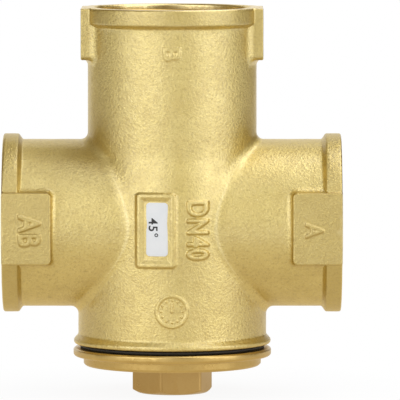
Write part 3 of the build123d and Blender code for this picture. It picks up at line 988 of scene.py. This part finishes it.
def mix(tree, share, a, b):
    """Mixes two colours or values. Each is a socket or a plain value."""
    colour = not isinstance(a, float) and not (hasattr(a, "type") and a.type == "VALUE")
    made = tree.nodes.new("ShaderNodeMix")
    made.data_type = "RGBA" if colour else "FLOAT"
    first, second = (6, 7) if colour else (2, 3)
    for index, value in ((0, share), (first, a), (second, b)):
        if hasattr(value, "is_linked"):
            tree.links.new(value, made.inputs[index])
        else:
            made.inputs[index].default_value = value
    return made.outputs[2 if colour else 0]


def two_tone(tree, value, low, high, dark, light):
    """Goes from a dark to a light colour as a value goes from low to high."""
    return mix(tree, spread(tree, value, low, high, 0, 1), (*dark, 1), (*light, 1))


def tinted(tree, value, low, high, share, base, tint):
    """Mixes a tint into a base colour, up to a share, as a value goes from low to high."""
    return mix(tree, spread(tree, value, low, high, 0, share), base, (*tint, 1))


def bump(tree, height, distance, normal=None):
    made = node(tree, "ShaderNodeBump", Distance=distance, Strength=1.0)
    tree.links.new(height, made.inputs["Height"])
    if normal is not None:
        tree.links.new(normal, made.inputs["Normal"])
    return made.outputs["Normal"]


def object_place(tree):
    return tree.nodes.new("ShaderNodeTexCoord").outputs["Object"]


def mesh_value(tree, name):
    """A value that the mesh holds at its points."""
    attribute = tree.nodes.new("ShaderNodeAttribute")
    attribute.attribute_name = name
    return attribute.outputs["Fac"]


def painted_junction_highlight(tree):
    """A painted highlight along the line where the side tubes meet the bowl and neck, standing in for the
    bright reflection on the fillet there. It is read from the distances to both.
    """
    farther = node(tree, "ShaderNodeMath")
    farther.operation = "MAXIMUM"
    tree.links.new(mesh_value(tree, "to_upright"), farther.inputs[0])
    tree.links.new(mesh_value(tree, "to_tubes"), farther.inputs[1])
    apart = node(tree, "ShaderNodeMath")
    apart.operation = "ABSOLUTE"
    tree.links.new(farther.outputs[0], apart.inputs[0])
    return spread(tree, apart.outputs[0], 0.1, 0.55, 0.85, 0)


def cast_brass():
    """Shot-blasted brass casting, turned bright at the mouths, bores and seats, with a painted highlight
    along the tube junctions.
    """
    material, tree, shader = new_material("cast_brass")
    place = object_place(tree)
    machined = mesh_value(tree, "machined")
    proud = mesh_value(tree, "proud")
    cloud = noise(tree, place, 60, 3)
    patch = noise(tree, place, 260, 4)
    grain = noise(tree, place, 1300, 3, 0.6)
    fleck = noise(tree, place, 2700, 2, 0.7)
    pits = noise(tree, place, 700, 2, 0.5)
    base = two_tone(tree, cloud, 0.35, 0.65, (0.605, 0.485, 0.17), (0.665, 0.54, 0.205))
    base = tinted(tree, patch, 0.4, 0.7, 0.4, base, (0.53, 0.405, 0.14))
    base = tinted(tree, grain, 0.5, 0.72, 0.65, base, (0.42, 0.315, 0.1))
    base = tinted(tree, fleck, 0.56, 0.74, 0.6, base, (0.8, 0.69, 0.36))
    base = tinted(tree, pits, 0.71, 0.8, 0.6, base, (0.26, 0.18, 0.06))
    base = tinted(tree, proud, 0, 1, 0.48, base, (0.43, 0.32, 0.09))
    # Painted highlight: a lighter base colour along the tube junctions, where the fillet reflects bright.
    base = mix(tree, painted_junction_highlight(tree), base, (0.84, 0.74, 0.4, 1))
    bright = two_tone(tree, patch, 0.3, 0.7, (0.7, 0.56, 0.25), (0.76, 0.63, 0.31))
    tree.links.new(mix(tree, machined, base, bright), shader.inputs["Base Color"])
    rough = spread(tree, patch, 0.3, 0.7, 0.36, 0.46)
    tree.links.new(mix(tree, machined, rough, 0.26), shader.inputs["Roughness"])
    shader.inputs["Metallic"].default_value = 1.0
    shader.inputs["Specular Tint"].default_value = (0.95, 0.82, 0.5, 1)
    shader.inputs["Coat Weight"].default_value = 0.6
    shader.inputs["Coat Roughness"].default_value = 0.28
    shader.inputs["Coat IOR"].default_value = 1.8
    depth = spread(tree, grain, 0.3, 0.7, 0, 1)
    relief = bump(tree, depth, 0.0001)
    relief = bump(tree, fleck, 0.00007, relief)
    calm = tree.nodes.new("ShaderNodeMix")
    calm.data_type = "VECTOR"
    tree.links.new(machined, calm.inputs[0])
    tree.links.new(relief, calm.inputs[4])
    tree.links.new(tree.nodes.new("ShaderNodeNewGeometry").outputs["Normal"], calm.inputs[5])
    tree.links.new(calm.outputs[1], shader.inputs["Normal"])
    return material


def turned_brass():
    """Brass turned from bar, with fine rings round the upright axis, and painted shade on the hex boss."""
    material, tree, shader = new_material("turned_brass")
    place = object_place(tree)
    axes = node(tree, "ShaderNodeSeparateXYZ")
    tree.links.new(place, axes.inputs[0])
    length = node(tree, "ShaderNodeVectorMath")
    length.operation = "LENGTH"
    flat = node(tree, "ShaderNodeCombineXYZ")
    tree.links.new(axes.outputs["X"], flat.inputs["X"])
    tree.links.new(axes.outputs["Y"], flat.inputs["Y"])
    tree.links.new(flat.outputs[0], length.inputs[0])
    rings = node(tree, "ShaderNodeCombineXYZ")
    tree.links.new(length.outputs["Value"], rings.inputs["X"])
    tree.links.new(axes.outputs["Z"], rings.inputs["Z"])
    lines = noise(tree, rings.outputs[0], 3200, 2, 0.6)
    cloud = noise(tree, place, 120, 3)
    fine = noise(tree, place, 2600, 2)
    base = two_tone(tree, cloud, 0.35, 0.65, (0.53, 0.375, 0.135), (0.59, 0.43, 0.165))
    base = tinted(tree, fine, 0.5, 0.75, 0.35, base, (0.4, 0.25, 0.08))
    # Painted shade: the hex boss is darker below its top, standing in for the dark reflections on its facets.
    painted_shade_top = boss_length * MM
    painted_shade_full = painted_shade_top - 0.0004
    base = tinted(tree, axes.outputs["Z"], painted_shade_top, painted_shade_full, 0.55, base, (0.39, 0.25, 0.11))
    tree.links.new(base, shader.inputs["Base Color"])
    tree.links.new(spread(tree, cloud, 0.3, 0.7, 0.26, 0.36), shader.inputs["Roughness"])
    shader.inputs["Metallic"].default_value = 1.0
    tree.links.new(bump(tree, lines, 0.00001), shader.inputs["Normal"])
    return material


def sheet_metal(name, low, high, rough, scale=900):
    """Pressed or drawn metal with faint clouds and fine marks."""
    material, tree, shader = new_material(name)
    place = object_place(tree)
    cloud = noise(tree, place, 150, 3)
    fine = noise(tree, place, scale, 3)
    tree.links.new(two_tone(tree, cloud, 0.3, 0.7, low, high), shader.inputs["Base Color"])
    tree.links.new(spread(tree, fine, 0.3, 0.7, rough - 0.05, rough + 0.08), shader.inputs["Roughness"])
    shader.inputs["Metallic"].default_value = 1.0
    tree.links.new(bump(tree, fine, 0.00001), shader.inputs["Normal"])
    return material


def rubber():
    material, tree, shader = new_material("black_rubber")
    place = object_place(tree)
    fine = noise(tree, place, 1400, 3)
    base = two_tone(tree, fine, 0.4, 0.7, (0.018, 0.017, 0.016), (0.04, 0.037, 0.033))
    tree.links.new(base, shader.inputs["Base Color"])
    tree.links.new(spread(tree, fine, 0.3, 0.7, 0.5, 0.68), shader.inputs["Roughness"])
    tree.links.new(bump(tree, fine, 0.00002), shader.inputs["Normal"])
    return material


def label_film():
    material, tree, shader = new_material("label_film")
    place = object_place(tree)
    fine = noise(tree, place, 900, 3)
    cloud = noise(tree, place, 200, 2)
    base = two_tone(tree, cloud, 0.3, 0.7, (0.84, 0.86, 0.88), (0.88, 0.89, 0.9))
    tree.links.new(base, shader.inputs["Base Color"])
    tree.links.new(spread(tree, fine, 0.3, 0.7, 0.42, 0.52), shader.inputs["Roughness"])
    tree.links.new(bump(tree, fine, 0.000004), shader.inputs["Normal"])
    return material


def printing_ink():
    material, tree, shader = new_material("printing_ink")
    fine = noise(tree, object_place(tree), 2500, 2)
    base = two_tone(tree, fine, 0.4, 0.7, (0.012, 0.012, 0.013), (0.03, 0.03, 0.032))
    tree.links.new(base, shader.inputs["Base Color"])
    shader.inputs["Roughness"].default_value = 0.45
    return material


def dress():
    """Gives every piece and every shown CAD node its material."""
    turned_metal = turned_brass()
    pressed = sheet_metal("pressed_brass", (0.66, 0.5, 0.22), (0.72, 0.56, 0.27), 0.28)
    copper = sheet_metal("copper", (0.62, 0.3, 0.18), (0.7, 0.38, 0.25), 0.3)
    spring = sheet_metal("spring_steel", (0.42, 0.42, 0.41), (0.52, 0.52, 0.5), 0.27, 1500)
    pin = sheet_metal("pin_steel", (0.52, 0.52, 0.51), (0.6, 0.6, 0.58), 0.18, 2000)
    black = rubber()
    film = label_film()
    ink = printing_ink()
    casting = cast_brass()
    by_node = {
        "insert_flange": pressed,
        "flange_gasket": black,
        "piston_bridge": pressed,
        "piston": pin,
        "spring_stirrup": pressed,
        "wax_capsule": copper,
        "capsule_guide": turned_metal,
        "main_disc": pressed,
        "disc_seal": black,
        "bypass_stem": pin,
        "bypass_clip": spring,
        "bypass_disc": pressed,
    }
    for name, material in by_node.items():
        slots = frame["nodes"][name].data.materials
        slots.clear()
        slots.append(material)
    for piece, material in (
        (make_casting(), casting),
        (make_plug(), turned_metal),
        (make_ring(), black),
        (make_label(), film),
        (make_print(), ink),
        *((spring_piece, spring) for spring_piece in make_springs()),
        *((thread, turned_metal) for thread in make_threads()),
    ):
        piece.data.materials.append(material)


def blend_shaders(tree, share, first, second, output):
    """Sends a mix of two shaders to the output."""
    blend = tree.nodes.new("ShaderNodeMixShader")
    tree.links.new(share, blend.inputs[0])
    tree.links.new(first.outputs[0], blend.inputs[1])
    tree.links.new(second.outputs[0], blend.inputs[2])
    tree.links.new(blend.outputs[0], output.inputs["Surface"])


def background_rays(tree):
    """One for the rays that see the background itself: from the camera, in gloss and through glass."""
    path = tree.nodes.new("ShaderNodeLightPath")
    seen = path.outputs["Is Camera Ray"]
    for kind in ("Is Glossy Ray", "Is Transmission Ray"):
        either = node(tree, "ShaderNodeMath")
        either.operation = "MAXIMUM"
        tree.links.new(seen, either.inputs[0])
        tree.links.new(path.outputs[kind], either.inputs[1])
        seen = either.outputs[0]
    return seen


def set_world():
    """White surroundings, which light the object softly."""
    world = bpy.data.worlds.new("studio")
    bpy.context.scene.world = world
    world.use_nodes = True
    tree = world.node_tree
    tree.nodes.clear()
    output = tree.nodes.new("ShaderNodeOutputWorld")
    soft = node(tree, "ShaderNodeBackground", Color=(1, 1, 1, 1), Strength=0.45)
    white = node(tree, "ShaderNodeBackground", Color=(1, 1, 1, 1), Strength=1.0)
    blend_shaders(tree, background_rays(tree), soft, white, output)


# The studio, in metres and degrees. Azimuth 0 is the camera's side.
studio_distance = 1.1
card_tint = (1.0, 0.8, 0.46)
floor_card_tint = (1.0, 0.88, 0.66)
floor_width = 12.0

# Cards: name, azimuth, elevation, width, height and grey
studio_cards = (
    ("front_card", 11, 14, 0.38, 1.5, 0.38),
    ("left_card", -110, 24, 1.5, 1.7, 0.3),
    ("right_card", 122, 14, 1.55, 1.5, 0.27),
    ("top_left_card", -125, 66, 1.3, 0.8, 0.3),
)

# Lamps: name, azimuth, elevation, width, height and watts
studio_lamps = (
    ("left_box", -38, 14, 1.0, 1.1, 4.6),
    ("right_box", 58, 14, 0.85, 1.1, 4.2),
    ("top_box", 110, 66, 0.9, 0.8, 4.4),
)


def studio_place(holder, azimuth, elevation):
    """Puts a lamp or a card round the valve, facing it."""
    aim = Vector((0, 0, port_z * MM))
    a = math.radians(azimuth)
    e = math.radians(elevation)
    away = Vector((math.sin(a) * math.cos(e), -math.cos(a) * math.cos(e), math.sin(e)))
    holder.location = aim + away * studio_distance
    holder.rotation_euler = (-away).to_track_quat("-Z", "Y").to_euler()


def flat_sheet(name, width, height):
    """A flat rectangle, centred on its origin."""
    mesh = bpy.data.meshes.new(name)
    w = width / 2
    h = height / 2
    mesh.from_pydata([(-w, -h, 0), (w, -h, 0), (w, h, 0), (-w, h, 0)], [], [(0, 1, 2, 3)])
    return add_object(name, mesh)


def bare_material(name):
    """A material with nothing but its output."""
    material = bpy.data.materials.new(name)
    material.use_nodes = True
    material.node_tree.nodes.clear()
    return material, material.node_tree, material.node_tree.nodes.new("ShaderNodeOutputMaterial")


def make_card(name, width, height, grey, tint=card_tint):
    """A warm grey card that only shows in the metal, as between the soft boxes of a studio."""
    card = flat_sheet(name, width, height)
    material, tree, output = bare_material(name)
    glow = node(tree, "ShaderNodeEmission", Color=(*tint, 1), Strength=grey)
    tree.links.new(glow.outputs[0], output.inputs["Surface"])
    card.data.materials.append(material)
    card.visible_camera = False
    card.visible_diffuse = False
    card.visible_shadow = False
    return card


def set_cards():
    """The cards round the valve, and one under it for the undersides of the tubes."""
    for name, azimuth, elevation, width, height, grey in studio_cards:
        studio_place(make_card(name, width, height, grey), azimuth, elevation)
    floor_card = make_card("floor_card", 0.28, 0.28, 0.87, floor_card_tint)
    floor_card.location = (0, 0, 0.0004)


def set_lamps():
    for name, azimuth, elevation, width, height, power in studio_lamps:
        lamp = bpy.data.lights.new(name, "AREA")
        lamp.shape = "RECTANGLE"
        lamp.size = width
        lamp.size_y = height
        lamp.energy = power
        studio_place(add_object(name, lamp), azimuth, elevation)


def set_floor():
    """White floor that keeps the valve's soft shadow, a little stronger close to the valve."""
    floor = flat_sheet("floor", floor_width, floor_width)
    material, tree, output = bare_material("floor")
    diffuse = node(tree, "ShaderNodeBsdfDiffuse", Color=(0.8, 0.8, 0.8, 1))
    white = node(tree, "ShaderNodeEmission", Color=(1, 1, 1, 1), Strength=1.0)
    amount = node(tree, "ShaderNodeMath")
    amount.operation = "MULTIPLY"
    tree.links.new(background_rays(tree), amount.inputs[0])
    distance = node(tree, "ShaderNodeVectorMath")
    distance.operation = "LENGTH"
    tree.links.new(object_place(tree), distance.inputs[0])
    tree.links.new(spread(tree, distance.outputs["Value"], 0.02, 0.09, 0.92, 1.0), amount.inputs[1])
    blend_shaders(tree, amount.outputs[0], diffuse, white, output)
    floor.data.materials.append(material)


def set_camera():
    """The camera stands where the photograph was taken from, a little above the valve's middle."""
    camera_distance = 1.85
    elevation = math.radians(4.25)
    target = Vector((0.00856, 0, 0.0594))
    camera_data = bpy.data.cameras.new("camera")
    camera_data.lens = 540
    camera_data.sensor_width = 36
    camera_data.clip_start = 0.05
    camera = add_object("camera", camera_data)
    bpy.context.scene.camera = camera
    away = Vector((0, -math.cos(elevation), math.sin(elevation)))
    camera.location = target + away * camera_distance
    camera.rotation_euler = (-away).to_track_quat("-Z", "Y").to_euler()


def set_stage():
    """Pale floor, white surroundings, cards, soft lamps and the camera."""
    set_floor()
    set_world()
    set_cards()
    set_lamps()
    set_camera()
    bpy.context.scene.view_settings.view_transform = "Standard"


dress()
set_stage()
